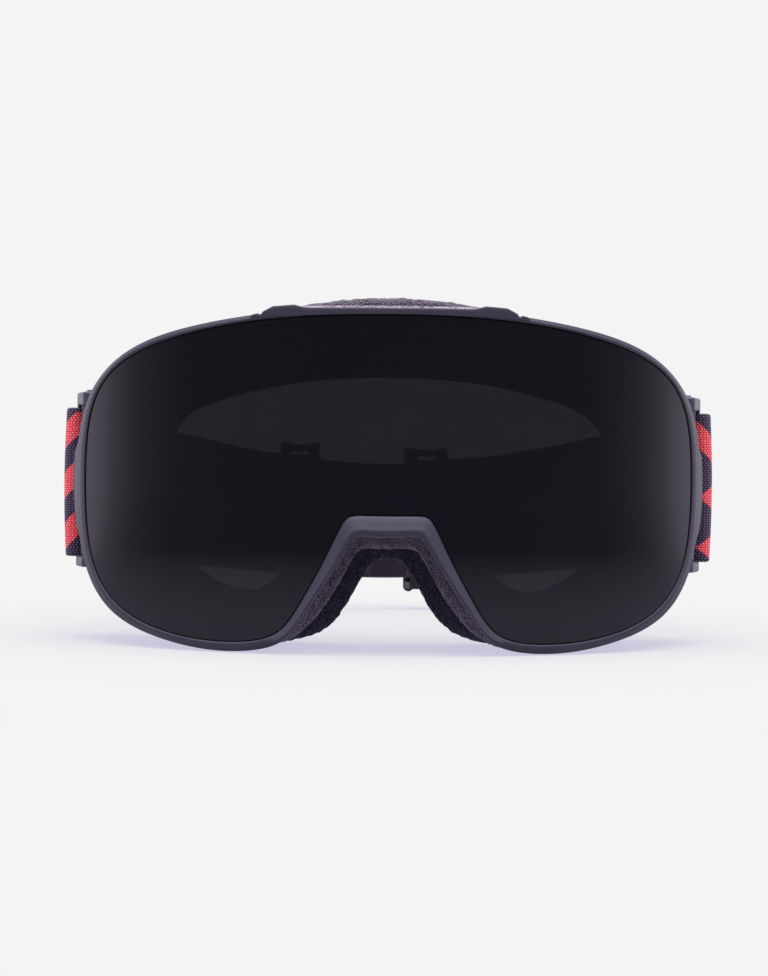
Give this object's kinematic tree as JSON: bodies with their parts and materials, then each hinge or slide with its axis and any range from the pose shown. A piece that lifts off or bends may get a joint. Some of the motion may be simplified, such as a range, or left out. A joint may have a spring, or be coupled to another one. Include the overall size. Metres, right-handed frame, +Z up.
{
  "type": "ski goggles",
  "caption": "Wide ski goggles with a smoked cylindrical double lens, layered face foam, hinged outriggers and an elastic strap with adjusting sliders.",
  "frame": {"origin": "on the floor under the middle of the goggles and strap", "axes": "+Z up, -Y the way the lens looks, +X to the right seen from the front"},
  "size_m": [0.1906, 0.2284, 0.0966],
  "materials": {
    "frame_plastic": "matte",
    "rim_plastic": "satin",
    "smoked_lens": "polished",
    "clear_lens": "polished",
    "gasket_foam": "matte",
    "vent_foam": "matte",
    "light_foam": "matte",
    "dark_foam": "matte",
    "fleece": "matte",
    "outrigger_plastic": "satin",
    "steel_pin": "satin",
    "webbing": "matte",
    "slider_plastic": "satin"
  },
  "bodies": {
    "goggle_frame": {"frame_body": "frame_plastic", "face_flange": "frame_plastic", "front_rim": "rim_plastic", "top_vent_cover": "rim_plastic", "outer_lens": "smoked_lens", "lens_gasket": "gasket_foam", "inner_lens": "clear_lens", "top_vent_foam": "vent_foam", "left_vent_foam": "vent_foam", "right_vent_foam": "vent_foam", "base_foam": "light_foam", "soft_foam": "dark_foam", "fleece_facing": "fleece", "left_hinge_pins": "steel_pin", "right_hinge_pins": "steel_pin", "strap_band": "webbing", "left_strap_tail": "webbing", "right_strap_tail": "webbing"},
    "left_arm": {"left_outrigger": "outrigger_plastic", "left_strap_loop": "webbing"},
    "right_arm": {"right_outrigger": "outrigger_plastic", "right_strap_loop": "webbing"},
    "left_buckle": {"left_slider": "slider_plastic", "left_slider_loop": "webbing"},
    "right_buckle": {"right_slider": "slider_plastic", "right_slider_loop": "webbing"}
  },
  "joints": [
    {"name": "left_outrigger_hinge", "type": "hinge", "parent": "goggle_frame", "child": "left_arm", "pos_m": [-0.0862, -0.06217, 0.0474], "axis": [0, 0, 1], "range_deg": [0, 25]},
    {"name": "right_outrigger_hinge", "type": "hinge", "parent": "goggle_frame", "child": "right_arm", "pos_m": [0.0862, -0.06217, 0.0474], "axis": [0, 0, -1], "range_deg": [0, 25]},
    {"name": "left_slider_slide", "type": "slide", "parent": "goggle_frame", "child": "left_buckle", "axis": [-0.6792, -0.7306, 0.0699], "range_m": [-0.01, 0.013]},
    {"name": "right_slider_slide", "type": "slide", "parent": "goggle_frame", "child": "right_buckle", "axis": [0.8489, -0.5262, 0.0503], "range_m": [-0.003, 0.015]}
  ]
}
